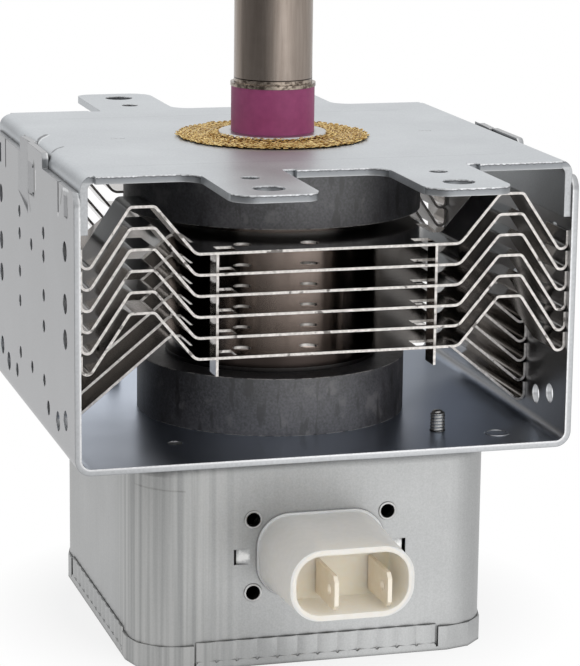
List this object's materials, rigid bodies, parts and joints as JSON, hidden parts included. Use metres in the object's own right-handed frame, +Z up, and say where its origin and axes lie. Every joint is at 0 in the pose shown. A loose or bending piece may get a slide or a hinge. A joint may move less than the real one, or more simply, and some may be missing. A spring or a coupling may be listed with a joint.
{
  "type": "magnetron",
  "caption": "Microwave oven magnetron with a folded steel yoke, pressed cooling fins, ring magnets, capped antenna, mounting tabs and a filter box with an oval connector.",
  "frame": {"origin": "on the antenna axis, in the plane of the filter box lid's underside", "axes": "+Z up along the antenna, +X to the right and -Y out of the connector's mouth"},
  "size_m": [0.0942, 0.132, 0.125],
  "materials": {
    "galvanised_plate": "galvanised sheet, matt with a fine grain",
    "galvanised_yoke": "galvanised sheet, satin, with bright cut edges",
    "ferrite_magnet": "sintered ferrite, dark grey, matt and faintly speckled",
    "anode_copper": "dull copper, satin",
    "pole_iron": "plated soft iron, satin",
    "cathode_tungsten": "drawn wire, dull",
    "can_steel": "plated drawn steel, satin",
    "pink_ceramic": "alumina ceramic, purple, matt",
    "white_ceramic": "alumina ceramic, off-white, matt",
    "copper_wire": "bare drawn copper, bright",
    "cap_steel": "drawn steel, bright, faintly brown",
    "gasket_mesh": "knitted brass wire, bright and speckled",
    "fin_aluminium": "rolled sheet, bright, with sheared edges",
    "box_steel": "deep-drawn galvanised sheet, warm grey, matt",
    "moulded_polyester": "moulded glass-filled polyester, cream, matt",
    "tinned_brass": "tin-plated brass, satin",
    "ferrite_rod": "sintered ferrite, dark grey, matt",
    "screw_steel": "zinc-plated steel, bright"
  },
  "bodies": {
    "root": {"anode_cylinder": "anode_copper", "anode_vane_1": "anode_copper", "anode_vane_10": "anode_copper", "anode_vane_2": "anode_copper", "anode_vane_3": "anode_copper", "anode_vane_4": "anode_copper", "anode_vane_5": "anode_copper", "anode_vane_6": "anode_copper", "anode_vane_7": "anode_copper", "anode_vane_8": "anode_copper", "anode_vane_9": "anode_copper", "antenna_cap": "cap_steel", "antenna_lead": "copper_wire", "box_screws": "screw_steel", "capacitor_flange": "can_steel", "cathode_filament": "cathode_tungsten", "centre_lead": "cathode_tungsten", "connector_housing": "moulded_polyester", "exhaust_cup": "can_steel", "exhaust_tube": "copper_wire", "filter_box": "box_steel", "filter_lid": "box_steel", "fin_1": "fin_aluminium", "fin_2": "fin_aluminium", "fin_3": "fin_aluminium", "fin_4": "fin_aluminium", "fin_5": "fin_aluminium", "fin_6": "fin_aluminium", "left_choke_coil": "copper_wire", "left_ferrite_rod": "ferrite_rod", "left_terminal": "tinned_brass", "lower_end_hat": "cathode_tungsten", "lower_inner_strap": "anode_copper", "lower_magnet": "ferrite_magnet", "lower_outer_strap": "anode_copper", "lower_pole_piece": "pole_iron", "lower_sealing_can": "can_steel", "lower_yoke": "galvanised_yoke", "output_ceramic": "pink_ceramic", "rf_gasket": "gasket_mesh", "right_choke_coil": "copper_wire", "right_ferrite_rod": "ferrite_rod", "right_terminal": "tinned_brass", "side_lead": "cathode_tungsten", "stem_ceramic": "white_ceramic", "upper_end_hat": "cathode_tungsten", "upper_inner_strap": "anode_copper", "upper_magnet": "ferrite_magnet", "upper_outer_strap": "anode_copper", "upper_pole_piece": "pole_iron", "upper_sealing_can": "can_steel", "upper_yoke": "galvanised_plate"}
  },
  "joints": []
}
